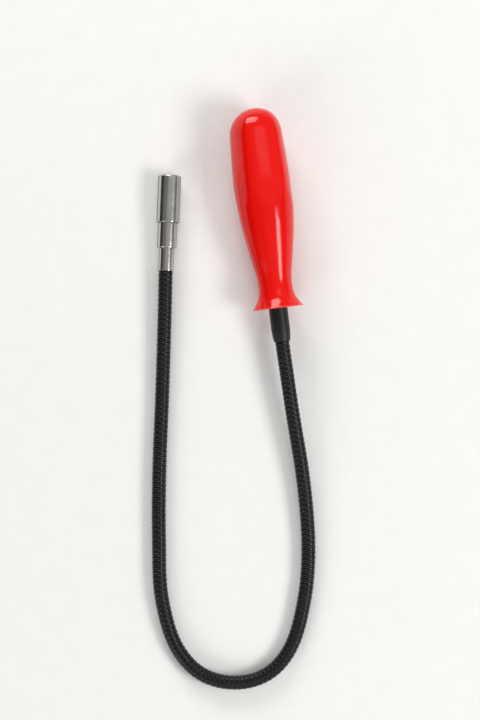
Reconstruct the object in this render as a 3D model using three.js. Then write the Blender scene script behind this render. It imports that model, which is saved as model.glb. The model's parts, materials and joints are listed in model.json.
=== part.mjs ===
// Flexible magnetic pickup tool: a fluted grip, a gooseneck and a twist-on light head with a ring magnet.
// Millimetres, +Z up. The tool lies on its side on the floor plane, its neck bent into a U.
// The gooseneck is a chain of equal straight links, one joint between each link and the next.

import * as THREE from 'three';

// ---- Driving dimensions: grip ----
const GRIP_LENGTH = 104.2;
const DOME_RADIUS = 14.1;
const BELLY_RADIUS = 15.2;
const WAIST_RADIUS = 8.95;
const FLANGE_RADIUS = 13.1;
const FLANGE_EDGE = 0.4;
const GRIP_BORE_RADIUS = 5.2;
const GRIP_BORE_DEPTH = 40;
const FLUTE_COUNT = 5;
const FLUTE_DEPTH = 0.9;
const FLUTE_HALF_WIDTH = THREE.MathUtils.degToRad(33);
const FLUTE_TURN = THREE.MathUtils.degToRad(-10);
const FLUTE_START = 12;
const FLUTE_BEND_START = 38;
const FLUTE_END = 52;

// ---- Driving dimensions: collar and anchor ----
const SLEEVE_RADIUS = 4.9;
const SLEEVE_BORE_RADIUS = 4.05;
const COLLAR_LENGTH = 12;
const COLLAR_TAPER = 6;
const COLLAR_TIP_RADIUS = 4.4;
const COLLAR_INSERT = 8;
const ANCHOR_LENGTH = 26;
const ANCHOR_SETBACK = 10;

// ---- Driving dimensions: gooseneck ----
const NECK_RADIUS = 3.75;
const NECK_BORE_RADIUS = 2.2;
const LINK_COUNT = 34;
const JOINT_CLEARANCE = 0.7;
const LINK_END_ANGLE = THREE.MathUtils.degToRad(15);
const FIRST_JOINT = 19.5;
const NECK_INSERT = 36;

// ---- Driving dimensions: head, measured along its axis from the mouth of the ferrule ----
const HEAD_LENGTH = 50;
const LAST_JOINT = 2.5;
const FERRULE_RADIUS = 4;
const FERRULE_LENGTH = 12;
const BARREL_RADIUS = 5.1;
const BARREL_LENGTH = 13;
const LAMP_RADIUS = 6;
const LAMP_WALL = 0.7;
const LAMP_SETBACK = 0.5;
const GAP = 0.3;
const EDGE = 0.35;
const CRIMP_WALL = 0.6;
const CRIMP_DEPTH = 10;
const SPIGOT_RADIUS = 2.9;
const SPIGOT_BORE_RADIUS = 1.2;
const BARREL_FLOOR = 1.8;
const THREAD_RADIUS = 4.85;
const THREAD_LENGTH = 6.5;
const RELIEF_RADIUS = 4.55;
const RELIEF_LENGTH = 2;
const SEAL_RADIUS = 5.03;
const SEAL_SECTION = 0.27;
const CELL_RADIUS = 3.95;
const CELL_HEIGHT = 3.6;
const CELL_COUNT = 4;
const SPRING_LENGTH = 3.4;
const SPRING_WIRE_RADIUS = 0.28;
const SPRING_TURNS = 3.25;
const SPRING_LOW_RADIUS = 2.2;
const SPRING_HIGH_RADIUS = 3.3;
const BOARD_RADIUS = 4.7;
const BOARD_THICKNESS = 1;
const HOLDER_START = 36.4;
const HOLDER_BORE_RADIUS = 1.9;
const MAGNET_RADIUS = 4.9;
const MAGNET_BORE_RADIUS = 2.85;
const MAGNET_LENGTH = 6.5;
const LED_RADIUS = 2.5;
const LED_FLANGE_RADIUS = 2.9;
const LED_LENGTH = 8.6;
const LED_SETBACK = 0.7;
const LED_FLANGE_HEIGHT = 1;
const LEAD_WIDTH = 0.5;
const LEAD_OFFSET = 1.27;

// ---- Where the tool lies: plan position of the grip, height of its axis, and the route of the neck ----
const GRIP_END = new THREE.Vector3(10.3, 151.9, 16.6);
const GRIP_FACE = new THREE.Vector3(23.2, 48.4, 13.1);
const FERRULE_MOUTH = new THREE.Vector3(-35.5, 68.3, LAMP_RADIUS);
const HEAD_TIP = new THREE.Vector3(-33.4, 118.3, LAMP_RADIUS);
const NECK_ROUTE = [
  [30.4, -3.3, 9.6],
  [36.9, -44.1, 6.0],
  [39.3, -78.1, 4.2],
  [37.2, -104.3, NECK_RADIUS],
  [29.6, -130.4, NECK_RADIUS],
  [17.6, -143.6, NECK_RADIUS],
  [2.4, -148.0, NECK_RADIUS],
  [-14.9, -144.6, NECK_RADIUS],
  [-29.0, -131.0, NECK_RADIUS],
  [-37.6, -104.3, NECK_RADIUS],
  [-39.2, -72.9, NECK_RADIUS],
  [-39.0, -35.8, NECK_RADIUS],
  [-37.6, 0.3, 3.9],
  [-36.5, 33.0, 4.9],
];

// ---- Facets round each turned piece ----
const GRIP_SIDES = 40;
const BARREL_SIDES = 24;
const LINK_SIDES = 12;

const UP = new THREE.Vector3(0, 0, 1);

// ---- Materials ----
const finish = (color, roughness, metalness) => () =>
  new THREE.MeshStandardMaterial({ color, roughness, metalness });
const redPlastic = finish(0xe0180f, 0.22, 0);
const blackRubber = finish(0x1b1b1d, 0.6, 0);
const blackCoil = finish(0x26262a, 0.42, 0.4);
const polishedChrome = finish(0xc6c8cc, 0.12, 1);
const plainSteel = finish(0x9a9ca0, 0.4, 1);
const nickel = finish(0xb9bab6, 0.28, 1);
const whitePlastic = finish(0xe8e6df, 0.5, 0);
const boardGreen = finish(0x2d6b45, 0.55, 0);
const clearLens = finish(0xe9eef2, 0.08, 0);

// ---- Shape helpers ----
const point = (radius, along) => new THREE.Vector2(radius, along);

// A solid of revolution about local +Y. A profile that leaves the axis open is closed on itself.
function turned(profile, sides) {
  const outline = profile.slice();
  if (outline[0].x > 0) {
    outline.push(outline[0].clone());
  }
  return new THREE.LatheGeometry(outline, sides);
}

// A straight tube from low to high with bevelled outer edges.
function tube(low, high, radius, bore, sides, edge) {
  return turned([
    point(bore, low),
    point(radius - edge, low),
    point(radius, low + edge),
    point(radius, high - edge),
    point(radius - edge, high),
    point(bore, high),
  ], sides);
}

// A straight solid disc from low to high.
function disc(low, high, radius, sides, edge) {
  return turned([
    point(0, low),
    point(radius - edge, low),
    point(radius, low + edge),
    point(radius, high - edge),
    point(radius - edge, high),
    point(0, high),
  ], sides);
}

function namedMesh(name, geometry, material) {
  const mesh = new THREE.Mesh(geometry, material());
  mesh.name = name;
  return mesh;
}

// A group whose local +Y runs from one point towards another, its local +Z as near upright as that allows.
function axisGroup(from, to) {
  const along = to.clone().sub(from).normalize();
  const across = along.clone().cross(UP).normalize();
  const upward = across.clone().cross(along);
  const group = new THREE.Group();
  group.position.copy(from);
  group.quaternion.setFromRotationMatrix(new THREE.Matrix4().makeBasis(across, along, upward));
  return group;
}

// ---- Grip ----
// Radius of the grip along its length behind the dome, from the dome to the flare before the flange.
function gripSide() {
  const side = new THREE.SplineCurve([
    point(DOME_RADIUS, DOME_RADIUS),
    point(0.99 * BELLY_RADIUS, 0.3 * GRIP_LENGTH),
    point(BELLY_RADIUS, 0.4 * GRIP_LENGTH),
    point(0.9 * BELLY_RADIUS, 0.585 * GRIP_LENGTH),
    point(0.73 * BELLY_RADIUS, 0.74 * GRIP_LENGTH),
    point(WAIST_RADIUS, 0.858 * GRIP_LENGTH),
    point(1.07 * WAIST_RADIUS, 0.94 * GRIP_LENGTH),
    point(FLANGE_RADIUS, GRIP_LENGTH - FLANGE_EDGE),
  ]);
  return side.getPoints(32);
}

function domeSide(steps) {
  const arc = [];
  for (let i = 0; i < steps; i += 1) {
    const angle = (i / steps) * (Math.PI / 2);
    arc.push(point(DOME_RADIUS * Math.sin(angle), DOME_RADIUS * (1 - Math.cos(angle))));
  }
  return arc;
}

// Depth of the flutes at a place on the grip: each is a shallow trough with a rounded front end.
function fluteDepth(along, angle) {
  const spacing = (2 * Math.PI) / FLUTE_COUNT;
  const turn = angle - FLUTE_TURN;
  const across = (turn - spacing * Math.round(turn / spacing)) / FLUTE_HALF_WIDTH;
  const past = Math.max(0, along - FLUTE_BEND_START) / (FLUTE_END - FLUTE_BEND_START);
  const reach = Math.max(0, 1 - across * across - past * past);
  return FLUTE_DEPTH * reach * THREE.MathUtils.smoothstep(along, 0, FLUTE_START);
}

function gripGeometry() {
  const geometry = turned([
    ...domeSide(7),
    ...gripSide(),
    point(FLANGE_RADIUS - FLANGE_EDGE, GRIP_LENGTH),
    point(GRIP_BORE_RADIUS, GRIP_LENGTH),
    point(GRIP_BORE_RADIUS, GRIP_LENGTH - GRIP_BORE_DEPTH),
    point(0, GRIP_LENGTH - GRIP_BORE_DEPTH),
  ], GRIP_SIDES);
  const place = geometry.attributes.position;
  for (let i = 0; i < place.count; i += 1) {
    const radius = Math.hypot(place.getX(i), place.getZ(i));
    if (radius > 0 && place.getY(i) < FLUTE_END) {
      const angle = Math.atan2(place.getX(i), place.getZ(i));
      const scale = 1 - fluteDepth(place.getY(i), angle) / radius;
      place.setX(i, place.getX(i) * scale);
      place.setZ(i, place.getZ(i) * scale);
    }
  }
  return geometry;
}

// Everything fixed to the grip, measured along the grip's axis from its rounded end.
function gripAssembly() {
  const group = axisGroup(GRIP_END, GRIP_FACE);
  const face = GRIP_LENGTH;
  const collar = turned([
    point(SLEEVE_BORE_RADIUS, face - COLLAR_INSERT),
    point(SLEEVE_RADIUS, face - COLLAR_INSERT),
    point(SLEEVE_RADIUS, face + COLLAR_LENGTH),
    point(COLLAR_TIP_RADIUS, face + COLLAR_LENGTH + COLLAR_TAPER),
    point(SLEEVE_BORE_RADIUS, face + COLLAR_LENGTH + COLLAR_TAPER),
  ], BARREL_SIDES);
  const anchorEnd = face - ANCHOR_SETBACK;
  const anchor = tube(
    anchorEnd - ANCHOR_LENGTH, anchorEnd, SLEEVE_RADIUS, SLEEVE_BORE_RADIUS, BARREL_SIDES, EDGE);
  const neckEnd = face + FIRST_JOINT - JOINT_CLEARANCE;
  const neckRoot = turned([
    point(NECK_BORE_RADIUS, face - NECK_INSERT),
    point(NECK_RADIUS, face - NECK_INSERT),
    point(NECK_RADIUS, neckEnd - linkBevel()),
    point(NECK_BORE_RADIUS, neckEnd),
  ], LINK_SIDES);
  group.add(
    namedMesh('handle', gripGeometry(), redPlastic),
    namedMesh('collar', collar, blackRubber),
    namedMesh('anchor_bush', anchor, plainSteel),
    namedMesh('neck_root', neckRoot, blackCoil),
  );
  return group;
}

// ---- Gooseneck ----
// How far the outer edge of a link's end is cut back, so that neighbours clear each other when bent.
function linkBevel() {
  return (NECK_RADIUS - NECK_BORE_RADIUS) * Math.tan(LINK_END_ANGLE);
}

// The joints, evenly spaced along the neck's route from the collar to the ferrule.
function neckJoints() {
  const gripAxis = GRIP_FACE.clone().sub(GRIP_END).normalize();
  const headAxis = HEAD_TIP.clone().sub(FERRULE_MOUTH).normalize();
  const route = new THREE.CatmullRomCurve3([
    GRIP_FACE.clone().addScaledVector(gripAxis, FIRST_JOINT),
    ...NECK_ROUTE.map((place) => new THREE.Vector3(...place)),
    FERRULE_MOUTH.clone().addScaledVector(headAxis, -LAST_JOINT),
  ], false, 'centripetal');
  route.arcLengthDivisions = 2000;
  return route.getSpacedPoints(LINK_COUNT);
}

function neckLinks() {
  const joints = neckJoints();
  const links = [];
  for (let i = 0; i < LINK_COUNT; i += 1) {
    const length = joints[i].distanceTo(joints[i + 1]);
    const low = JOINT_CLEARANCE;
    const high = length - JOINT_CLEARANCE;
    const link = turned([
      point(NECK_BORE_RADIUS, low),
      point(NECK_RADIUS, low + linkBevel()),
      point(NECK_RADIUS, high - linkBevel()),
      point(NECK_BORE_RADIUS, high),
    ], LINK_SIDES);
    const group = axisGroup(joints[i], joints[i + 1]);
    group.add(namedMesh(`neck_link_${String(i + 1).padStart(2, '0')}`, link, blackCoil));
    links.push(group);
  }
  return links;
}

// ---- Head ----
class ConicalHelix extends THREE.Curve {
  constructor(low, high, lowRadius, highRadius, turns) {
    super();
    Object.assign(this, { low, high, lowRadius, highRadius, turns });
  }

  getPoint(t, target = new THREE.Vector3()) {
    const radius = THREE.MathUtils.lerp(this.lowRadius, this.highRadius, t);
    const angle = 2 * Math.PI * this.turns * t;
    const along = THREE.MathUtils.lerp(this.low, this.high, t);
    return target.set(radius * Math.cos(angle), along, radius * Math.sin(angle));
  }
}

function springGeometry(low, high) {
  const wire = new THREE.Shape();
  wire.absarc(0, 0, SPRING_WIRE_RADIUS, 0, 2 * Math.PI);
  return new THREE.ExtrudeGeometry(wire, {
    extrudePath: new ConicalHelix(
      low + SPRING_WIRE_RADIUS, high - SPRING_WIRE_RADIUS,
      SPRING_LOW_RADIUS, SPRING_HIGH_RADIUS, SPRING_TURNS),
    steps: Math.round(14 * SPRING_TURNS),
    curveSegments: 3,
    bevelEnabled: false,
  });
}

// Stations along the head's axis that more than one piece shares.
const BARREL_START = FERRULE_LENGTH;
const BARREL_END = BARREL_START + BARREL_LENGTH;
const FLOOR_TOP = BARREL_START + BARREL_FLOOR;
const CELL_START = FLOOR_TOP + GAP + SPRING_LENGTH + GAP;
const BOARD_START = CELL_START + CELL_COUNT * (CELL_HEIGHT + GAP);
const LED_START = HEAD_LENGTH - LED_SETBACK - LED_LENGTH;
const MAGNET_START = HEAD_LENGTH - MAGNET_LENGTH;

// The neck's end is reduced to go into the ferrule, which is crimped on it.
function neckTipGeometry() {
  const start = JOINT_CLEARANCE - LAST_JOINT;
  const crimpedRadius = FERRULE_RADIUS - CRIMP_WALL - GAP;
  return turned([
    point(NECK_BORE_RADIUS, start),
    point(NECK_RADIUS, start + linkBevel()),
    point(NECK_RADIUS, -GAP),
    point(crimpedRadius, -GAP),
    point(crimpedRadius, CRIMP_DEPTH - GAP),
    point(NECK_BORE_RADIUS, CRIMP_DEPTH - GAP),
  ], LINK_SIDES);
}

// The ferrule's spigot passes through the floor of the battery barrel.
function ferruleGeometry() {
  const neckBore = FERRULE_RADIUS - CRIMP_WALL;
  return turned([
    point(neckBore, 0),
    point(FERRULE_RADIUS - EDGE, 0),
    point(FERRULE_RADIUS, EDGE),
    point(FERRULE_RADIUS, BARREL_START - GAP),
    point(SPIGOT_RADIUS, BARREL_START - GAP),
    point(SPIGOT_RADIUS, FLOOR_TOP),
    point(SPIGOT_BORE_RADIUS, FLOOR_TOP),
    point(SPIGOT_BORE_RADIUS, CRIMP_DEPTH),
    point(neckBore, CRIMP_DEPTH),
  ], BARREL_SIDES);
}

// A cup with a hole in its floor and a reduced, threaded front that goes into the lamp barrel.
function batteryBarrelGeometry() {
  const floorHole = SPIGOT_RADIUS + GAP;
  const cellBore = CELL_RADIUS + GAP;
  const threadEnd = BARREL_END + THREAD_LENGTH;
  return turned([
    point(floorHole, BARREL_START),
    point(BARREL_RADIUS - EDGE, BARREL_START),
    point(BARREL_RADIUS, BARREL_START + EDGE),
    point(BARREL_RADIUS, BARREL_END - EDGE),
    point(BARREL_RADIUS - EDGE, BARREL_END),
    point(RELIEF_RADIUS, BARREL_END),
    point(RELIEF_RADIUS, BARREL_END + RELIEF_LENGTH),
    point(THREAD_RADIUS, BARREL_END + RELIEF_LENGTH + GAP),
    point(THREAD_RADIUS, threadEnd - EDGE),
    point(THREAD_RADIUS - EDGE, threadEnd),
    point(cellBore, threadEnd),
    point(cellBore, FLOOR_TOP),
    point(floorHole, FLOOR_TOP),
  ], BARREL_SIDES);
}

// A seal in the relief behind the thread, inside the lamp barrel's counterbore.
function sealGeometry() {
  const ring = new THREE.TorusGeometry(SEAL_RADIUS, SEAL_SECTION, 6, BARREL_SIDES);
  ring.rotateX(Math.PI / 2);
  ring.translate(0, BARREL_END + RELIEF_LENGTH / 2 + SEAL_SECTION, 0);
  return ring;
}

function fixedHeadParts() {
  const cells = [];
  for (let i = 0; i < CELL_COUNT; i += 1) {
    const low = CELL_START + i * (CELL_HEIGHT + GAP);
    const cell = disc(low, low + CELL_HEIGHT, CELL_RADIUS, BARREL_SIDES, EDGE);
    cells.push(namedMesh(`battery_cell_${i + 1}`, cell, nickel));
  }
  const spring = springGeometry(FLOOR_TOP + GAP, CELL_START - GAP);
  return [
    namedMesh('neck_tip', neckTipGeometry(), blackCoil),
    namedMesh('ferrule', ferruleGeometry(), polishedChrome),
    namedMesh('battery_barrel', batteryBarrelGeometry(), polishedChrome),
    namedMesh('contact_spring', spring, plainSteel),
    namedMesh('o_ring', sealGeometry(), blackRubber),
    ...cells,
  ];
}

// The lamp barrel screws over the battery barrel. A counterbore at its rear clears the seal.
function lampBarrelGeometry() {
  const start = BARREL_END + GAP;
  const end = HEAD_LENGTH - LAMP_SETBACK;
  const bore = LAMP_RADIUS - LAMP_WALL;
  const counterbore = SEAL_RADIUS + SEAL_SECTION + 0.2;
  return turned([
    point(counterbore, start),
    point(LAMP_RADIUS - EDGE, start),
    point(LAMP_RADIUS, start + EDGE),
    point(LAMP_RADIUS, end - EDGE),
    point(LAMP_RADIUS - EDGE, end),
    point(bore, end),
    point(bore, start + RELIEF_LENGTH),
    point(counterbore, start + RELIEF_LENGTH),
  ], BARREL_SIDES);
}

// An insulating plug with a pocket for the light's flange and a hole for its leads.
function ledHolderGeometry() {
  const pocket = LED_FLANGE_RADIUS + GAP;
  return turned([
    point(HOLDER_BORE_RADIUS, HOLDER_START),
    point(MAGNET_RADIUS, HOLDER_START),
    point(MAGNET_RADIUS, MAGNET_START - GAP),
    point(pocket, MAGNET_START - GAP),
    point(pocket, LED_START - GAP),
    point(HOLDER_BORE_RADIUS, LED_START - GAP),
  ], BARREL_SIDES);
}

// A round-nosed 5 mm light with a flange at its base.
function ledGeometry() {
  const domeSteps = 5;
  const domeStart = LED_START + LED_LENGTH - LED_RADIUS;
  const dome = [];
  for (let i = 0; i < domeSteps; i += 1) {
    const angle = (i / domeSteps) * (Math.PI / 2);
    dome.push(point(LED_RADIUS * Math.cos(angle), domeStart + LED_RADIUS * Math.sin(angle)));
  }
  return turned([
    point(0, LED_START),
    point(LED_FLANGE_RADIUS, LED_START),
    point(LED_FLANGE_RADIUS, LED_START + LED_FLANGE_HEIGHT),
    point(LED_RADIUS, LED_START + LED_FLANGE_HEIGHT),
    ...dome,
    point(0, LED_START + LED_LENGTH),
  ], BARREL_SIDES);
}

function ledLead(number, side) {
  const low = BOARD_START + BOARD_THICKNESS + GAP;
  const high = LED_START - GAP;
  const lead = new THREE.BoxGeometry(LEAD_WIDTH, high - low, LEAD_WIDTH);
  lead.translate(side * LEAD_OFFSET, (low + high) / 2, 0);
  return namedMesh(`led_lead_${number}`, lead, plainSteel);
}

// What turns with the lamp barrel: the light, its holder and board, and the ring magnet.
function turningHeadParts() {
  const magnet = tube(
    MAGNET_START, HEAD_LENGTH, MAGNET_RADIUS, MAGNET_BORE_RADIUS, BARREL_SIDES, EDGE);
  const board = disc(
    BOARD_START, BOARD_START + BOARD_THICKNESS, BOARD_RADIUS, BARREL_SIDES, 0.1);
  return [
    namedMesh('lamp_barrel', lampBarrelGeometry(), polishedChrome),
    namedMesh('magnet', magnet, nickel),
    namedMesh('led_holder', ledHolderGeometry(), whitePlastic),
    namedMesh('led', ledGeometry(), clearLens),
    namedMesh('contact_board', board, boardGreen),
    ledLead(1, -1),
    ledLead(2, 1),
  ];
}

// ---- Assembly ----
const tool = new THREE.Group();
const head = axisGroup(FERRULE_MOUTH, HEAD_TIP);
head.add(...fixedHeadParts(), ...turningHeadParts());
tool.add(gripAssembly(), ...neckLinks(), head);

// The origin is the middle of the footprint, on the floor.
tool.updateMatrixWorld(true);
const extent = new THREE.Box3().setFromObject(tool, true);
const middle = extent.getCenter(new THREE.Vector3());
tool.position.set(-middle.x, -middle.y, -extent.min.z);

export default tool;
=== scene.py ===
"""Looks for a flexible magnetic pickup tool: a fluted red grip, a coiled gooseneck and a chromed head.

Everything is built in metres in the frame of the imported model. The dimensions below and the profiles
made from them are in millimetres, and are multiplied by MM. A profile's corner is (radius, along), with
its rounding as a third number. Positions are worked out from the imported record's joints and mounts.
"""

import json
import math

import bpy
import numpy as np
from mathutils import Matrix, Vector


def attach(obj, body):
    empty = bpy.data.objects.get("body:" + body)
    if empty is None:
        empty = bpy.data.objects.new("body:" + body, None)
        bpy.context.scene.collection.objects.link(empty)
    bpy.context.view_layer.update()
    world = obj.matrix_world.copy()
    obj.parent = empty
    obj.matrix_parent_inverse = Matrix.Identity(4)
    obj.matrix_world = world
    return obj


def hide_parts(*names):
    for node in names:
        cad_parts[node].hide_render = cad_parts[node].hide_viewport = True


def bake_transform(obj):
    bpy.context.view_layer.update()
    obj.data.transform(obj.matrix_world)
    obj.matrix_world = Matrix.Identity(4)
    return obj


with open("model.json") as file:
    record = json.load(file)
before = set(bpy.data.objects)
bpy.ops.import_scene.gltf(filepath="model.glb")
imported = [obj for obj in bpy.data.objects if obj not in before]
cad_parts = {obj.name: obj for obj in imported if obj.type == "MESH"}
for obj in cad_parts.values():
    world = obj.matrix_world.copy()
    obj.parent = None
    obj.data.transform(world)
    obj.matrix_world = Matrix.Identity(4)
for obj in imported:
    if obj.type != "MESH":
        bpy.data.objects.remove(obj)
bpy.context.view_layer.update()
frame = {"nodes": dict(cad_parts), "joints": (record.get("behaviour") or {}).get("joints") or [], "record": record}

MM = 0.001
TAU = 2 * math.pi

# ---------------------------------------------------------------- what the frame says
joints = frame["joints"]
mounts = {m["name"]: m for m in frame["record"]["mounts"]}

neck_joints = [j for j in joints if j["name"] != "light_switch"]
switch = next(j for j in joints if j["name"] == "light_switch")

grip_axis = np.array(mounts["grip_flange_face"]["axis"], float)
flange_point = np.array(mounts["grip_flange_face"]["pos_m"], float)
first_joint = np.array(neck_joints[0]["pos_m"], float)
flange_centre = first_joint - grip_axis * ((first_joint - flange_point) @ grip_axis)

head_axis = np.array(switch["axis"], float)
ferrule_mouth = np.array(switch["pos_m"], float)

# ---------------------------------------------------------------- dimensions: millimetres and radians
GRIP_LENGTH = 104.2
DOME_RADIUS = 14.1
BELLY_RADIUS = 15.2
WAIST_RADIUS = 8.95
FLANGE_RADIUS = 13.1
FLUTE_COUNT = 5
FLUTE_DEPTH = 0.9
FLUTE_HALF_WIDTH = math.radians(33)
FLUTE_TURN = math.radians(-10)
FLUTE_START = 12
FLUTE_BEND_START = 38
FLUTE_END = 52
DOME_STEPS = 26
SIDE_STEPS = 110
GRIP_SIDES = 160
FLANGE_ROUNDING = 0.4
GRIP_BORE_RADIUS = 5.2
GRIP_BORE_DEPTH = 40

# along the grip's axis, from the flange's face
COLLAR_START = -8
COLLAR_START_BORE = 4.02
COLLAR_RADIUS = 4.9
COLLAR_TAPER_START = 13
COLLAR_END = 17.6
COLLAR_END_RADIUS = 4.2
COLLAR_MOUTH_RADIUS = 3.92
COLLAR_MOUTH_START = 15

COIL_PITCH = 2.6
RIB_CREST = 3.78
RIB_HEIGHT = 0.5
RIB_HALF_WIDTH = 0.92
RIB_SQUARENESS = 2.5
FILLER_TOP = 3.56
FILLER_CROWN = 0.04
FILLER_DEPTH = 0.35
WIRE_GAP = 0.02
RIB_POINTS = 20
STEPS_PER_TURN = 28
SAMPLES_PER_LINK = 40
ROOT_START_KNOT = 0.15
ROOT_END_SHARE = 0.4
LAST_JOINT_TO_MOUTH = 2.5
COIL_IN_FERRULE = 3.1

# along the head's axis, from the ferrule's mouth
NECK_END_RADIUS = 3.1
NECK_END_BORE = 2.2
NECK_END_START = 3.3
NECK_END_STOP = 9.7
FERRULE_RADIUS = 4.0
FERRULE_MOUTH_RADIUS = 3.86
FERRULE_MOUTH_DEPTH = 4
FERRULE_BORE_RADIUS = 3.4
FERRULE_BORE_END = 10
FERRULE_END = 11.7
FERRULE_SPIGOT_RADIUS = 2.9
FERRULE_SPIGOT_END = 13.8
FERRULE_WIRE_HOLE = 1.2
BARREL_START = 12
BARREL_START_BORE = 3.2
BARREL_RADIUS = 5.1
BARREL_SHOULDER = 25
SEAL_GROOVE_RADIUS = 4.55
SEAL_GROOVE_END = 27
THREAD_RADIUS = 4.85
THREAD_END = 31.5
CELL_BORE_RADIUS = 4.25
LAMP_START = 25.3
LAMP_RADIUS = 6.0
LAMP_SKIRT_BORE = 5.5
LAMP_SKIRT_END = 27.3
LAMP_BORE_RADIUS = 5.3
LAMP_END = 49.5
MAGNET_START = 43.5
MAGNET_RADIUS = 4.9
MAGNET_HOLE_RADIUS = 2.85
MAGNET_FACE = 50

LED_START = 40.7
LED_LENGTH = 8.6
LED_RADIUS = 2.5
LED_FLANGE_RADIUS = 2.9
LED_FLANGE_THICKNESS = 1
LED_POST_RADIUS = 0.42
LED_POST_INSET = 0.3
CUP_BELOW_DOME = 1.2
CUP_HEIGHT = 0.9
CUP_CONE = 0.6
CUP_RADIUS = 1.15
CUP_MOUTH_RADIUS = 1.0
CUP_FLOOR_RADIUS = 0.45
CUP_DEPTH = 0.55
CHIP_RADIUS = 0.42
CHIP_BOTTOM = 0.5
CHIP_TOP = 0.28

# a radius below this counts as zero
ON_AXIS = 1e-6

# ---------------------------------------------------------------- the stage, in metres
FLOOR_HALF_SIZE = 12.0
FLOOR_HEIGHT = -0.0002


# ---------------------------------------------------------------- mesh helpers
def unit(v):
    return v / np.linalg.norm(v)


def axis_frame(origin, axis):
    """Matrix that takes local Z to axis and local X to the side nearest straight up."""
    z = unit(np.array(axis, float))
    x = unit(np.array([0, 0, 1.0]) - z * z[2])
    y = np.cross(z, x)
    m = Matrix.Identity(4)
    for row in range(3):
        m[row][0], m[row][1], m[row][2], m[row][3] = x[row], y[row], z[row], origin[row]
    return m


def make_object(name, points, faces, materials, sharp=35, uv=None):
    """A smooth mesh with creases where faces meet at more than sharp degrees.

    uv has a row for each face corner.
    """
    mesh = bpy.data.meshes.new(name)
    mesh.from_pydata([tuple(p) for p in points], [], faces)
    mesh.polygons.foreach_set("use_smooth", [True] * len(mesh.polygons))
    if uv is not None:
        mesh.uv_layers.new(name="UVMap").data.foreach_set("uv", np.array(uv, np.float32).ravel())
    mesh.update()
    mesh.set_sharp_from_angle(angle=math.radians(sharp))
    for material in materials:
        mesh.materials.append(material)
    obj = bpy.data.objects.new(name, mesh)
    bpy.context.scene.collection.objects.link(obj)
    return obj


def rounded(profile, steps=4):
    """Replaces each corner given as (radius, along, rounding) by an arc of that rounding."""
    out = []
    count = len(profile)
    for i, corner in enumerate(profile):
        here = np.array(corner[:2], float)
        rounding = corner[2] if len(corner) > 2 else 0
        if not rounding:
            out.append(tuple(here))
            continue
        before = np.array(profile[i - 1][:2], float)
        after = np.array(profile[(i + 1) % count][:2], float)
        a, b = unit(before - here), unit(after - here)
        for k in range(steps + 1):
            t = k / steps
            out.append(tuple(here + a * rounding * (1 - t) ** 2 + b * rounding * t ** 2))
    return out


def held(profile, reach=0.12, long=1.5):
    """Adds a point close to each end of every long step, so that shading turns only at the corners."""
    closed = profile[0][0] > ON_AXIS
    out = []
    for i, here in enumerate(profile):
        out.append(here)
        if i + 1 == len(profile) and not closed:
            break
        ahead = profile[(i + 1) % len(profile)]
        length = math.hypot(ahead[0] - here[0], ahead[1] - here[1])
        if length > long and min(here[0], ahead[0]) > ON_AXIS:
            for t in (reach / length, 1 - reach / length):
                out.append((here[0] + (ahead[0] - here[0]) * t, here[1] + (ahead[1] - here[1]) * t))
    return out


def lathe(name, profile, place, material, sides=96, shape=None, sharp=35):
    """Turns a profile of (radius, along) in millimetres about the local Z of place.

    The profile runs so that its solid is on its left; it closes on itself unless it ends on the axis.
    shape(radius, along, angle) may move a point's radius.
    """
    profile = held(profile)
    points, rings, travelled = [], [], [0]
    for (r0, a0), (r1, a1) in zip(profile, profile[1:] + profile[:1]):
        travelled.append(travelled[-1] + math.hypot(r1 - r0, a1 - a0))
    for radius, along in profile:
        if radius < ON_AXIS:
            rings.append([len(points)] * sides)
            points.append((0, 0, along * MM))
            continue
        ring = []
        for k in range(sides):
            angle = TAU * k / sides
            r = shape(radius, along, angle) if shape else radius
            ring.append(len(points))
            points.append((r * math.cos(angle) * MM, r * math.sin(angle) * MM, along * MM))
        rings.append(ring)
    faces, uv = [], []
    closed = profile[0][0] > ON_AXIS
    widest = max(radius for radius, _ in profile)
    pairs = list(zip(rings, rings[1:])) + ([(rings[-1], rings[0])] if closed else [])
    for step, (a, b) in enumerate(pairs):
        for k in range(sides):
            n = (k + 1) % sides
            here, ahead = TAU * widest * k / sides, TAU * widest * (k + 1) / sides
            corners = [(a[k], (here, travelled[step])), (a[n], (ahead, travelled[step])),
                       (b[n], (ahead, travelled[step + 1])), (b[k], (here, travelled[step + 1]))]
            corners = [c for i, c in enumerate(corners) if c[0] != corners[i - 1][0]]
            if len(corners) > 2:
                faces.append([c[0] for c in corners])
                uv += [c[1] for c in corners]
    obj = make_object(name, points, faces, [material], sharp, uv)
    obj.data.transform(place)
    return obj


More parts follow.
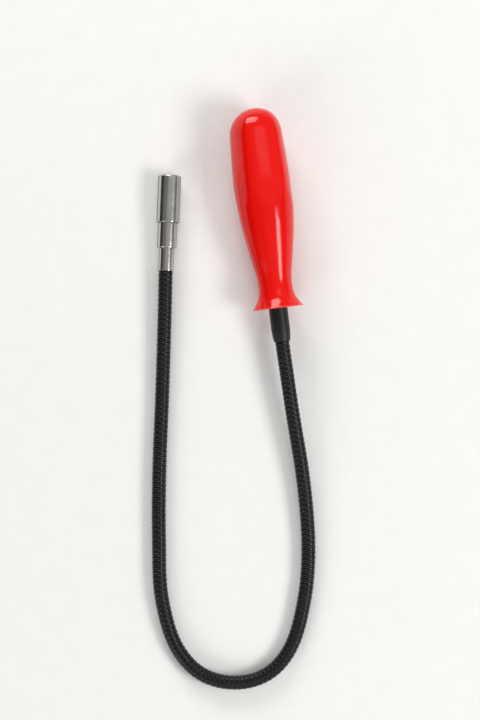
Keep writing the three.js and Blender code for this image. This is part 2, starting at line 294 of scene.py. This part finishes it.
# ---------------------------------------------------------------- materials
class Shader:
    """A material's node tree, with short calls for the nodes that the materials share."""

    def __init__(self, name):
        self.material = bpy.data.materials.new(name)
        self.material.use_nodes = True
        self.tree = self.material.node_tree
        self.bsdf = self.tree.nodes["Principled BSDF"]

    def node(self, kind, **settings):
        n = self.tree.nodes.new(kind)
        for key, value in settings.items():
            setattr(n, key, value)
        return n

    def link(self, a, b):
        self.tree.links.new(a, b)

    def set(self, **values):
        for key, value in values.items():
            self.bsdf.inputs[key.replace("_", " ")].default_value = value

    def coords(self, kind="Object", scale=(1, 1, 1)):
        source = self.node("ShaderNodeTexCoord")
        mapping = self.node("ShaderNodeMapping")
        mapping.inputs["Scale"].default_value = scale
        self.link(source.outputs[kind], mapping.inputs["Vector"])
        return mapping.outputs["Vector"]

    def uv_x(self):
        """The distance round the piece, in the UV's millimetres."""
        n = self.node("ShaderNodeSeparateXYZ")
        self.link(self.coords("UV"), n.inputs["Vector"])
        return n.outputs["X"]

    def noise(self, vector, scale, detail=4, roughness=0.55):
        n = self.node("ShaderNodeTexNoise")
        n.inputs["Scale"].default_value = scale
        n.inputs["Detail"].default_value = detail
        n.inputs["Roughness"].default_value = roughness
        self.link(vector, n.inputs["Vector"])
        return n.outputs["Fac"]

    def ramp(self, factor, *stops):
        """A colour ramp; each stop is (position, value or colour)."""
        n = self.node("ShaderNodeValToRGB")
        ramp = n.color_ramp
        while len(ramp.elements) < len(stops):
            ramp.elements.new(0.5)
        for element, (position, value) in zip(ramp.elements, stops):
            element.position = position
            colour = value if isinstance(value, tuple) else (value,) * 3
            element.color = (*colour, 1)
        self.link(factor, n.inputs["Fac"])
        return n.outputs["Color"]

    def mix(self, factor, a, b):
        """Colour a where factor is 0 and colour b where it is 1."""
        n = self.node("ShaderNodeMix", data_type="RGBA")
        for socket, value in (("Factor", factor), ("A", a), ("B", b)):
            plug = next(s for s in n.inputs if s.name == socket and s.enabled)
            if isinstance(value, tuple):
                plug.default_value = (*value, 1)
            else:
                self.link(value, plug)
        return next(s for s in n.outputs if s.enabled)

    def math(self, operation, *values):
        n = self.node("ShaderNodeMath", operation=operation)
        for plug, value in zip(n.inputs, values):
            if isinstance(value, (int, float)):
                plug.default_value = value
            else:
                self.link(value, plug)
        return n.outputs[0]

    def bump(self, height, strength, distance, under=None):
        """Bumps of a distance in metres, laid over the bumps under; the last one made is the one in use."""
        n = self.node("ShaderNodeBump")
        n.inputs["Strength"].default_value = strength
        n.inputs["Distance"].default_value = distance
        self.link(height, n.inputs["Height"])
        if under is not None:
            self.link(under, n.inputs["Normal"])
        self.link(n.outputs["Normal"], self.bsdf.inputs["Normal"])
        return n.outputs["Normal"]

    def feed(self, output, socket):
        self.link(output, self.bsdf.inputs[socket])

    def edges(self, low, high):
        """White on outer edges, black elsewhere."""
        geometry = self.node("ShaderNodeNewGeometry")
        return self.ramp(geometry.outputs["Pointiness"], (low, 0.0), (high, 1.0))


def grip_plastic():
    """Glossy moulded red, with flow marks, fine scuffs, a parting line down each side and rubbed edges."""
    s = Shader("grip_plastic")
    at = s.coords()
    cloud = s.ramp(s.noise(at, 26, 3), (0.3, (0.70, 0.0020, 0.0008)), (0.7, (0.76, 0.0038, 0.0015)))
    worn = s.math("MULTIPLY", s.edges(0.515, 0.56), s.noise(at, 420, 5))
    s.feed(s.mix(worn, cloud, (0.92, 0.06, 0.035)), "Base Color")
    smear = s.ramp(s.noise(at, 55, 6, 0.62), (0.35, 0.11), (0.75, 0.21))
    s.feed(s.mix(worn, smear, (0.42, 0.42, 0.42)), "Roughness")
    peel = s.bump(s.noise(at, 420, 2), 0.10, 0.00012)
    scuffs = s.bump(s.noise(s.coords("UV", (1.6, 0.05, 1)), 6, 3, 0.7), 0.05, 0.00005, peel)
    half_way = math.pi * BELLY_RADIUS
    round_grip = s.math("DIVIDE", s.uv_x(), half_way)
    from_side = s.math("ABSOLUTE", s.math("SUBTRACT", s.math("FRACT", round_grip), 0.5))
    seam = s.ramp(from_side, (0.0, 1.0), (0.0035, 0.6), (0.007, 0.0))
    s.bump(seam, 0.5, 0.00006, scuffs)
    s.set(IOR=1.38)
    return s.material


def gooseneck(name, base, crest, roughness):
    """Blackened wire: drawing lines along it, patchy sheen, and bright rubbed spots on the crests."""
    s = Shader(name)
    at = s.coords("UV")
    grime = s.noise(at, 0.35, 5, 0.6)
    edges = s.edges(0.54, 0.64)
    rubbed = s.ramp(s.noise(at, 1.1, 4), (0.50, 0.0), (0.70, 1.0))
    worn = s.math("MULTIPLY", edges, rubbed)
    s.feed(s.mix(worn, s.ramp(grime, (0.3, base), (0.75, crest)), (0.07, 0.07, 0.075)), "Base Color")
    s.feed(s.ramp(grime, (0.3, roughness - 0.05), (0.75, roughness + 0.07)), "Roughness")
    drawn = s.bump(s.noise(s.coords("UV", (0.06, 1, 1)), 14, 3), 0.05, 0.00002)
    s.bump(s.noise(at, 3, 3), 0.05, 0.00004, drawn)
    s.set(IOR=1.34)
    return s.material


def turned_metal(name, base, roughness):
    """Bright plated metal with the fine rings of turning, handling marks and worn edges."""
    s = Shader(name)
    at = s.coords()
    tone = s.ramp(s.noise(at, 35, 3), (0.3, tuple(0.94 * c for c in base)), (0.7, base))
    worn = s.math("MULTIPLY", s.edges(0.53, 0.60), s.noise(at, 600, 4))
    s.feed(s.mix(worn, tone, (0.86, 0.84, 0.80)), "Base Color")
    handled = s.noise(at, 120, 6, 0.65)
    s.feed(s.ramp(handled, (0.3, roughness), (0.75, roughness + 0.10)), "Roughness")
    rings = s.bump(s.noise(s.coords("UV", (0.02, 1, 1)), 9, 3), 0.05, 0.00005)
    s.bump(s.noise(at, 1500, 3), 0.03, 0.00005, rings)
    s.set(Metallic=1.0, Specular_Tint=(0.3, 0.3, 0.3, 1.0))
    return s.material


def matte(name, low, high, roughness, grain=1800, strength=0.25, ior=1.5):
    """Rubber, moulded plastic or board: mottled from colour low to colour high, with a fine grain."""
    s = Shader(name)
    at = s.coords()
    s.feed(s.ramp(s.noise(at, 90, 4), (0.3, low), (0.7, high)), "Base Color")
    s.feed(s.ramp(s.noise(at, 260, 4), (0.3, roughness - 0.06), (0.7, roughness + 0.06)), "Roughness")
    s.bump(s.noise(at, grain, 4), strength, 0.0001)
    s.set(IOR=ior)
    return s.material


def clear_epoxy():
    """The light's clear body, with a faint haze and ripple."""
    s = Shader("led_epoxy")
    at = s.coords()
    s.set(Base_Color=(0.97, 0.985, 1.0, 1), Transmission_Weight=1.0, IOR=1.53)
    s.feed(s.ramp(s.noise(at, 700, 3), (0.3, 0.02), (0.7, 0.06)), "Roughness")
    s.bump(s.noise(at, 900, 2), 0.03, 0.00004)
    return s.material


red = grip_plastic()
coil_black = gooseneck("coil_black", (0.003, 0.003, 0.0034), (0.006, 0.006, 0.007), 0.18)
filler_black = gooseneck("filler_black", (0.003, 0.003, 0.0034), (0.005, 0.005, 0.006), 0.42)
chrome = turned_metal("chrome", (0.60, 0.595, 0.575), 0.12)
nickel = turned_metal("magnet_nickel", (0.60, 0.595, 0.575), 0.22)
steel = turned_metal("plain_steel", (0.45, 0.455, 0.47), 0.28)
cell_plate = turned_metal("cell_plate", (0.66, 0.65, 0.62), 0.20)
rubber = matte("collar_rubber", (0.003, 0.003, 0.0034), (0.008, 0.008, 0.009), 0.46, ior=1.4)
seal_rubber = matte("seal_rubber", (0.012, 0.012, 0.013), (0.020, 0.020, 0.021), 0.5)
holder_white = matte("holder_white", (0.72, 0.71, 0.67), (0.80, 0.79, 0.75), 0.45, 1200, 0.12)
board_green = matte("board_green", (0.015, 0.11, 0.045), (0.03, 0.16, 0.07), 0.4, 900, 0.15)
epoxy = clear_epoxy()
phosphor = matte("phosphor", (0.80, 0.62, 0.10), (0.88, 0.74, 0.20), 0.5, 3000, 0.2)


# ---------------------------------------------------------------- grip
def spline_profile(stations, steps):
    """Uniform Catmull-Rom curve through (radius, along) stations, with doubled ends."""
    p = [np.array(s, float) for s in stations]
    p = [p[0]] + p + [p[-1]]
    out = []
    spans = len(p) - 3
    for i in range(steps + 1):
        t = i / steps * spans
        k = min(int(t), spans - 1)
        f = t - k
        a, b, c, d = p[k], p[k + 1], p[k + 2], p[k + 3]
        out.append(0.5 * ((2 * b) + (c - a) * f + (2 * a - 5 * b + 4 * c - d) * f ** 2
                          + (3 * b - a - 3 * c + d) * f ** 3))
    return [tuple(v) for v in out]


def smoothstep(x, low, high):
    """0 below low, 1 above high, and an even S between."""
    t = min(1, max(0, (x - low) / (high - low)))
    return t * t * (3 - 2 * t)


def flute_depth(along, angle):
    """How far a flute sinks in: it fades in from the rounded end and stops in a round nose."""
    spacing = TAU / FLUTE_COUNT
    turn = angle - FLUTE_TURN
    across = (turn - spacing * round(turn / spacing)) / FLUTE_HALF_WIDTH
    past = max(0, along - FLUTE_BEND_START) / (FLUTE_END - FLUTE_BEND_START)
    reach = max(0, 1 - across * across - past * past)
    return FLUTE_DEPTH * reach * smoothstep(along, 0, FLUTE_START)


def build_grip():
    """The round-ended handle: a dome, a waisted side, a flared flange and a bore for the neck."""
    dome = [(DOME_RADIUS * math.sin(a), DOME_RADIUS * (1 - math.cos(a)))
            for a in (math.pi / 2 * i / DOME_STEPS for i in range(DOME_STEPS))]
    side = spline_profile([
        (DOME_RADIUS, DOME_RADIUS),
        (0.99 * BELLY_RADIUS, 0.3 * GRIP_LENGTH),
        (BELLY_RADIUS, 0.4 * GRIP_LENGTH),
        (0.9 * BELLY_RADIUS, 0.585 * GRIP_LENGTH),
        (0.73 * BELLY_RADIUS, 0.74 * GRIP_LENGTH),
        (WAIST_RADIUS, 0.858 * GRIP_LENGTH),
        (1.07 * WAIST_RADIUS, 0.94 * GRIP_LENGTH),
        (FLANGE_RADIUS, GRIP_LENGTH - FLANGE_ROUNDING),
    ], SIDE_STEPS)
    mouth = rounded([
        side[-1],
        (FLANGE_RADIUS, GRIP_LENGTH, FLANGE_ROUNDING),
        (GRIP_BORE_RADIUS, GRIP_LENGTH, 0.3),
        (GRIP_BORE_RADIUS, GRIP_LENGTH - GRIP_BORE_DEPTH),
    ])[1:]
    profile = dome + side + mouth + [(0, GRIP_LENGTH - GRIP_BORE_DEPTH)]

    def fluted(radius, along, angle):
        return radius - flute_depth(along, angle) if along < FLUTE_END else radius

    start = flange_centre - grip_axis * GRIP_LENGTH * MM
    grip = lathe("grip", profile, axis_frame(start, grip_axis), red, GRIP_SIDES, fluted, 30)
    grip.visible_glossy = False  # its reflection would run down the chrome as a red line
    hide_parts("handle")
    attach(grip, "handle")


def build_collar():
    """The tapered rubber strain relief, its tail inside the grip."""
    profile = rounded([
        (COLLAR_START_BORE, COLLAR_START),
        (COLLAR_RADIUS, COLLAR_START, 0.2),
        (COLLAR_RADIUS, COLLAR_TAPER_START, 2.5),
        (COLLAR_END_RADIUS, COLLAR_END, 0.3),
        (COLLAR_MOUTH_RADIUS, COLLAR_END, 0.1),
        (COLLAR_MOUTH_RADIUS, COLLAR_MOUTH_START),
    ], 6)
    collar = lathe("neck_collar", profile, axis_frame(flange_centre, grip_axis), rubber, 72)
    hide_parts("collar")
    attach(collar, "handle")


# ---------------------------------------------------------------- gooseneck
def natural_spline(values):
    """Second derivatives of a natural cubic spline through rows spaced one apart."""
    n = len(values)
    a = np.zeros((n, n))
    b = np.zeros_like(values)
    a[0, 0] = a[-1, -1] = 1
    for i in range(1, n - 1):
        a[i, i - 1:i + 2] = 1, 4, 1
        b[i] = 6 * (values[i - 1] - 2 * values[i] + values[i + 1])
    return np.linalg.solve(a, b)


class Centreline:
    """The neck's middle line: a smooth curve through its joints, run on into the collar and the ferrule."""

    def __init__(self, knots):
        self.knots = np.array(knots)
        self.bends = natural_spline(self.knots)
        spans = len(knots) - 1
        self.samples = np.linspace(0, spans, spans * SAMPLES_PER_LINK + 1)
        self.points = np.array([self.at_knot(t) for t in self.samples])
        steps = np.linalg.norm(np.diff(self.points, axis=0), axis=1)
        self.lengths = np.concatenate([[0], np.cumsum(steps)])
        tangents = np.gradient(self.points, self.lengths, axis=0)
        self.tangents = tangents / np.linalg.norm(tangents, axis=1)[:, None]
        self.normals = self.carried_normals()

    def at_knot(self, t):
        """The point at knot number t, which may lie between two knots."""
        k = min(int(t), len(self.knots) - 2)
        f = t - k
        g = 1 - f
        p, q = self.knots[k], self.knots[k + 1]
        a, b = self.bends[k], self.bends[k + 1]
        return g * p + f * q + ((g ** 3 - g) * a + (f ** 3 - f) * b) / 6

    def carried_normals(self):
        """A side direction carried along the curve with no twist."""
        normals = []
        side = np.array([0, 0, 1.0])
        for tangent in self.tangents:
            side = unit(side - tangent * (side @ tangent))
            normals.append(side)
        return np.array(normals)

    def length_at(self, t):
        """The length along the curve at knot number t."""
        return float(np.interp(t, self.samples, self.lengths))

    def frames(self, s):
        """Points, tangents, normals and binormals at the lengths s."""
        def pick(rows):
            return np.stack([np.interp(s, self.lengths, rows[:, k]) for k in range(3)], 1)
        tangent = pick(self.tangents)
        tangent /= np.linalg.norm(tangent, axis=1)[:, None]
        normal = pick(self.normals)
        normal -= tangent * np.sum(normal * tangent, 1)[:, None]
        normal /= np.linalg.norm(normal, axis=1)[:, None]
        return pick(self.points), tangent, normal, np.cross(tangent, normal)


def wound_wire(line, start, end, phase, section):
    """One wire wound round the neck from start to end, as points, faces and UVs.

    section is a closed outline of (outward, along) distances from the neck's middle line, in metres.
    """
    pitch = COIL_PITCH * MM
    first = math.ceil(start / pitch * STEPS_PER_TURN - 1e-6)
    last = math.floor(end / pitch * STEPS_PER_TURN + 1e-6)
    marks = np.unique(np.concatenate([[start], np.arange(first, last + 1) * pitch / STEPS_PER_TURN, [end]]))
    marks = marks[np.concatenate([[True], np.diff(marks) > pitch * 1e-4])]
    angle = TAU * marks / pitch + phase
    middle, tangent, normal, side = line.frames(marks)
    outward = np.cos(angle)[:, None] * normal + np.sin(angle)[:, None] * side
    around = -np.sin(angle)[:, None] * normal + np.cos(angle)[:, None] * side
    radius = RIB_CREST * MM
    along = tangent * radius - around * pitch / TAU
    along /= np.linalg.norm(along, axis=1)[:, None]
    points = np.stack([middle + outward * out + along * ahead for out, ahead in section], 1).reshape(-1, 3)
    n = len(section)
    rim = [0.0]
    for (o0, a0), (o1, a1) in zip(section, section[1:] + section[:1]):
        rim.append(rim[-1] + math.hypot(o1 - o0, a1 - a0) / MM)
    wound = angle * RIB_CREST
    faces, uv = [], []
    for i in range(len(marks) - 1):
        for k in range(n):
            m = (k + 1) % n
            faces.append([i * n + k, i * n + m, (i + 1) * n + m, (i + 1) * n + k])
            uv += [(wound[i], rim[k]), (wound[i], rim[k + 1]),
                   (wound[i + 1], rim[k + 1]), (wound[i + 1], rim[k])]
    last_ring = (len(marks) - 1) * n
    faces.append(list(range(n))[::-1])
    faces.append([last_ring + k for k in range(n)])
    uv += [(wound[0], rim[k]) for k in range(n)][::-1] + [(wound[-1], rim[k]) for k in range(n)]
    return points, faces, uv


def rib_half_width(out):
    """Half of a rib's width at a distance from the middle line: a rounded, flattened outline."""
    height = (out - RIB_CREST + RIB_HEIGHT) / RIB_HEIGHT
    return RIB_HALF_WIDTH * (1 - abs(height) ** RIB_SQUARENESS) ** (1 / RIB_SQUARENESS)


def rib_section():
    """A wire flattened to a rounded bar, standing proud of the filler."""
    outline = []
    for k in range(RIB_POINTS):
        c, s = math.cos(TAU * k / RIB_POINTS), math.sin(TAU * k / RIB_POINTS)
        swell = (abs(c) ** RIB_SQUARENESS + abs(s) ** RIB_SQUARENESS) ** (-1 / RIB_SQUARENESS)
        out = RIB_CREST - RIB_HEIGHT + RIB_HEIGHT * swell * c
        outline.append((out * MM, -RIB_HALF_WIDTH * swell * s * MM))
    return outline


def filler_section():
    """A three-sided wire that fills the groove between the ribs, point inwards, with a crowned face."""
    centre = RIB_CREST - RIB_HEIGHT
    wide = 0.5 * COIL_PITCH - rib_half_width(FILLER_TOP) - WIRE_GAP
    narrow = 0.5 * COIL_PITCH - rib_half_width(centre) - WIRE_GAP
    crown = [(FILLER_TOP + FILLER_CROWN * (1 - t * t), wide * t) for t in (1.0, 0.5, 0.0, -0.5, -1.0)]
    outline = crown + [(centre, -narrow), (centre - FILLER_DEPTH, 0.0), (centre, narrow)]
    return [(out * MM, along * MM) for out, along in outline]


def neck_piece(name, line, start, end):
    """One length of the neck: the round wire and the filler wire, half a turn apart."""
    points, faces, uvs, kinds = [], [], [], []
    count = 0
    for index, (phase, section) in enumerate(((0.0, rib_section()), (math.pi, filler_section()))):
        p, f, uv = wound_wire(line, start, end, phase, section)
        points.append(p)
        uvs += uv
        faces += [[v + count for v in face] for face in f]
        kinds += [index] * len(f)
        count += len(p)
    obj = make_object(name, np.concatenate(points), faces, [coil_black, filler_black], 50, uvs)
    obj.data.polygons.foreach_set("material_index", kinds)
    return obj


def build_neck():
    """The wound neck, cut half-way between its joints so that each piece spans one of them.
    """
    spots = [np.array(j["pos_m"], float) for j in neck_joints]
    spacing = float(np.mean([np.linalg.norm(b - a) for a, b in zip(spots, spots[1:])]))
    before = [spots[0] - grip_axis * spacing * k for k in (4, 3, 2, 1)]
    after = [spots[-1] + head_axis * spacing]
    line = Centreline(before + spots + after)
    root_start = line.length_at(ROOT_START_KNOT)
    joint_at = [line.length_at(len(before) + i) for i in range(len(spots))]
    middles = [(a + b) / 2 for a, b in zip(joint_at, joint_at[1:])]
    root_end = joint_at[0] - spacing * ROOT_END_SHARE
    mouth = joint_at[-1] + LAST_JOINT_TO_MOUTH * MM
    cuts = [root_end] + middles + [mouth + COIL_IN_FERRULE * MM]

    root = neck_piece("neck_root_coil", line, root_start, root_end)
    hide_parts("neck_root")
    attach(root, "handle")
    for i, joint in enumerate(neck_joints):
        piece = neck_piece(f"neck_coil_{i + 1:02d}", line, cuts[i], cuts[i + 1])
        if i < len(neck_joints) - 1:
            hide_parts(f"neck_link_{i + 1:02d}")
        ends, _, _, _ = line.frames(np.array([cuts[i], min(cuts[i + 1], mouth)]))
        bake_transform(piece)
    tip_profile = rounded([
        (NECK_END_BORE, NECK_END_START, 0.1),
        (NECK_END_RADIUS, NECK_END_START, 0.1),
        (NECK_END_RADIUS, NECK_END_STOP, 0.3),
        (NECK_END_BORE, NECK_END_STOP, 0.1),
    ])
    tip = lathe("neck_end", tip_profile, axis_frame(ferrule_mouth, head_axis), coil_black, 48)
    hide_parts("neck_tip")
    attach(tip, "head")


# ---------------------------------------------------------------- head
def head_piece(name, profile, material, body, node, sides=96):
    """A turned piece on the head's axis, riding on body and standing for node."""
    piece = lathe(name, profile, axis_frame(ferrule_mouth, head_axis), material, sides)
    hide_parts(node)
    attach(piece, body)


def build_head():
    """The chromed ferrule and barrels, the ring magnet and the light in its middle."""
    ferrule = rounded([
        (FERRULE_MOUTH_RADIUS, 0, 0.05),
        (FERRULE_RADIUS, 0, 0.08),
        (FERRULE_RADIUS, FERRULE_END, 0.2),
        (FERRULE_SPIGOT_RADIUS, FERRULE_END),
        (FERRULE_SPIGOT_RADIUS, FERRULE_SPIGOT_END, 0.2),
        (FERRULE_WIRE_HOLE, FERRULE_SPIGOT_END),
        (FERRULE_WIRE_HOLE, FERRULE_BORE_END),
        (FERRULE_BORE_RADIUS, FERRULE_BORE_END),
        (FERRULE_BORE_RADIUS, FERRULE_MOUTH_DEPTH + 0.4),
        (FERRULE_MOUTH_RADIUS, FERRULE_MOUTH_DEPTH),
    ])
    battery_barrel = rounded([
        (BARREL_START_BORE, BARREL_START),
        (BARREL_RADIUS, BARREL_START, 0.45),
        (BARREL_RADIUS, BARREL_SHOULDER, 0.3),
        (SEAL_GROOVE_RADIUS, BARREL_SHOULDER),
        (SEAL_GROOVE_RADIUS, SEAL_GROOVE_END),
        (THREAD_RADIUS, SEAL_GROOVE_END + 0.3),
        (THREAD_RADIUS, THREAD_END, 0.3),
        (CELL_BORE_RADIUS, THREAD_END),
        (CELL_BORE_RADIUS, FERRULE_SPIGOT_END),
        (BARREL_START_BORE, FERRULE_SPIGOT_END),
    ])
    lamp_barrel = rounded([
        (LAMP_SKIRT_BORE, LAMP_START, 0.08),
        (LAMP_RADIUS, LAMP_START, 0.3),
        (LAMP_RADIUS, LAMP_END, 0.4),
        (LAMP_BORE_RADIUS, LAMP_END, 0.15),
        (LAMP_BORE_RADIUS, LAMP_SKIRT_END),
        (LAMP_SKIRT_BORE, LAMP_SKIRT_END),
    ])
    magnet = rounded([
        (MAGNET_HOLE_RADIUS, MAGNET_START, 0.1),
        (MAGNET_RADIUS, MAGNET_START, 0.3),
        (MAGNET_RADIUS, MAGNET_FACE, 0.4),
        (MAGNET_HOLE_RADIUS, MAGNET_FACE, 0.3),
    ])
    head_piece("head_ferrule", ferrule, chrome, "head", "ferrule")
    head_piece("head_battery_barrel", battery_barrel, chrome, "head", "battery_barrel")
    head_piece("head_lamp_barrel", lamp_barrel, chrome, "lamp", "lamp_barrel")
    head_piece("head_magnet", magnet, nickel, "lamp", "magnet")
    build_led()


def build_led():
    """A clear round-nosed lens moulded over a post, with a dished cup and a bright chip in it."""
    dome_start = LED_START + LED_LENGTH - LED_RADIUS
    nose = [(LED_RADIUS * math.cos(t), dome_start + LED_RADIUS * math.sin(t))
            for t in (math.pi / 2 * k / 20 for k in range(1, 20))]
    body = rounded([
        (0, LED_START),
        (LED_FLANGE_RADIUS, LED_START, 0.12),
        (LED_FLANGE_RADIUS, LED_START + LED_FLANGE_THICKNESS, 0.12),
        (LED_RADIUS, LED_START + LED_FLANGE_THICKNESS, 0.1),
        (LED_RADIUS, dome_start),
    ]) + nose + [(0, dome_start + LED_RADIUS)]
    cup_rim = dome_start - CUP_BELOW_DOME
    cup = rounded([
        (0, LED_START + LED_POST_INSET),
        (LED_POST_RADIUS, LED_START + LED_POST_INSET, 0.05),
        (LED_POST_RADIUS, cup_rim - CUP_HEIGHT - CUP_CONE, 0.1),
        (CUP_RADIUS, cup_rim - CUP_HEIGHT, 0.1),
        (CUP_RADIUS, cup_rim, 0.06),
        (CUP_MOUTH_RADIUS, cup_rim, 0.05),
        (CUP_FLOOR_RADIUS, cup_rim - CUP_DEPTH, 0.05),
        (0, cup_rim - CUP_DEPTH),
    ])
    chip = rounded([
        (0, cup_rim - CHIP_BOTTOM),
        (CHIP_RADIUS, cup_rim - CHIP_BOTTOM, 0.04),
        (CHIP_RADIUS, cup_rim - CHIP_TOP, 0.08),
        (0, cup_rim - CHIP_TOP),
    ])
    for name, profile, material, sides in (
            ("led_body", body, epoxy, 64), ("led_cup", cup, steel, 40), ("led_chip", chip, phosphor, 24)):
        head_piece(name, profile, material, "lamp", "led", sides)


# ---------------------------------------------------------------- stage
def build_floor():
    """A large pale floor just under the tool."""
    pale = matte("floor", (0.80, 0.80, 0.79), (0.82, 0.82, 0.81), 0.6, 60, 0.0)
    size = FLOOR_HALF_SIZE
    corners = [(-size, -size, 0), (size, -size, 0), (size, size, 0), (-size, size, 0)]
    floor = make_object("floor", corners, [[0, 1, 2, 3]], [pale])
    floor.location.z = FLOOR_HEIGHT


def build_world():
    """A dim studio whose brightness changes from left to right, which gives the chrome its bands."""
    # (place from the -X side to the +X side, brightness)
    stops = [(0.0, 0.05), (0.07, 0.06), (0.13, 0.20), (0.37, 0.24), (0.43, 0.40),
             (0.92, 0.44), (0.97, 0.16), (1.0, 0.30)]
    world = bpy.data.worlds.new("studio")
    bpy.context.scene.world = world
    world.use_nodes = True
    tree = world.node_tree
    source = tree.nodes.new("ShaderNodeTexCoord")
    split = tree.nodes.new("ShaderNodeSeparateXYZ")
    half = tree.nodes.new("ShaderNodeMath")
    half.operation = "MULTIPLY_ADD"
    half.inputs[1].default_value = 0.5
    half.inputs[2].default_value = 0.5
    ramp = tree.nodes.new("ShaderNodeValToRGB")
    while len(ramp.color_ramp.elements) < len(stops):
        ramp.color_ramp.elements.new(0.5)
    for element, (position, value) in zip(ramp.color_ramp.elements, stops):
        element.position = position
        element.color = (value, value * 0.985, value * 0.95, 1)
    tree.links.new(source.outputs["Generated"], split.inputs[0])
    tree.links.new(split.outputs["X"], half.inputs[0])
    tree.links.new(half.outputs[0], ramp.inputs[0])
    tree.links.new(ramp.outputs[0], tree.nodes["Background"].inputs["Color"])
    tree.nodes["Background"].inputs["Strength"].default_value = 1.0


def softbox(name, location, target, size, radiance):
    """A rectangle of light aimed at target, its height kept in line with Y."""
    light = bpy.data.lights.new(name, "AREA")
    light.shape = "RECTANGLE"
    light.size, light.size_y = size
    light.energy = radiance * math.pi * size[0] * size[1]
    obj = bpy.data.objects.new(name, light)
    bpy.context.scene.collection.objects.link(obj)
    z = unit(np.array(location) - np.array(target))
    y = unit(np.array([0, 1, 0]) - z * z[1])
    x = np.cross(y, z)
    rows = [(float(x[row]), float(y[row]), float(z[row]), location[row]) for row in range(3)]
    obj.matrix_world = Matrix(rows + [(0, 0, 0, 1)])


def build_lights():
    """Five softboxes round the tool; the last number of each is its brightness."""
    middle = (0.0, 0.0, 0.0)
    softbox("overhead", (0.38, 0.56, 1.30), (0.02, 0.12, 0.0), (0.72, 0.5), 0.85)
    softbox("right", (1.06, -0.36, 1.02), (0.06, -0.1, 0.0), (0.44, 0.74), 12.0)
    softbox("back", (-0.26, 1.12, 0.58), middle, (0.76, 0.50), 8.0)
    softbox("front", (-0.25, -1.2, 0.85), middle, (1.0, 0.5), 1.8)
    softbox("left_front", (-1.0, -0.95, 0.7), middle, (0.8, 0.6), 4.6)


def build_camera():
    """Straight down, with a long lens. The view's middle is up and to the right of the tool's."""
    view_height = 0.3766
    view_middle = Vector((0.00345, 0.0212, 0.008))
    camera = bpy.data.cameras.new("camera")
    camera.lens = 85
    camera.sensor_width = 36
    distance = view_height * camera.lens / camera.sensor_width
    obj = bpy.data.objects.new("camera", camera)
    bpy.context.scene.collection.objects.link(obj)
    obj.location = view_middle + Vector((0, 0, distance))
    bpy.context.scene.camera = obj


def finish_inner_nodes():
    """The CAD solids that stay hidden inside the tool get materials of their own."""
    looks = {
        steel: ["anchor_bush", "contact_spring", "led_lead_1", "led_lead_2"],
        cell_plate: [f"battery_cell_{i}" for i in (1, 2, 3, 4)],
        seal_rubber: ["o_ring"],
        holder_white: ["led_holder"],
        board_green: ["contact_board"],
    }
    for material, nodes in looks.items():
        for node in nodes:
            for slot in frame["nodes"][node].material_slots:
                slot.material = material


build_camera()
build_grip()
build_collar()
build_neck()
build_head()
finish_inner_nodes()
build_floor()
build_world()
build_lights()
bpy.context.scene.view_settings.view_transform = "Standard"
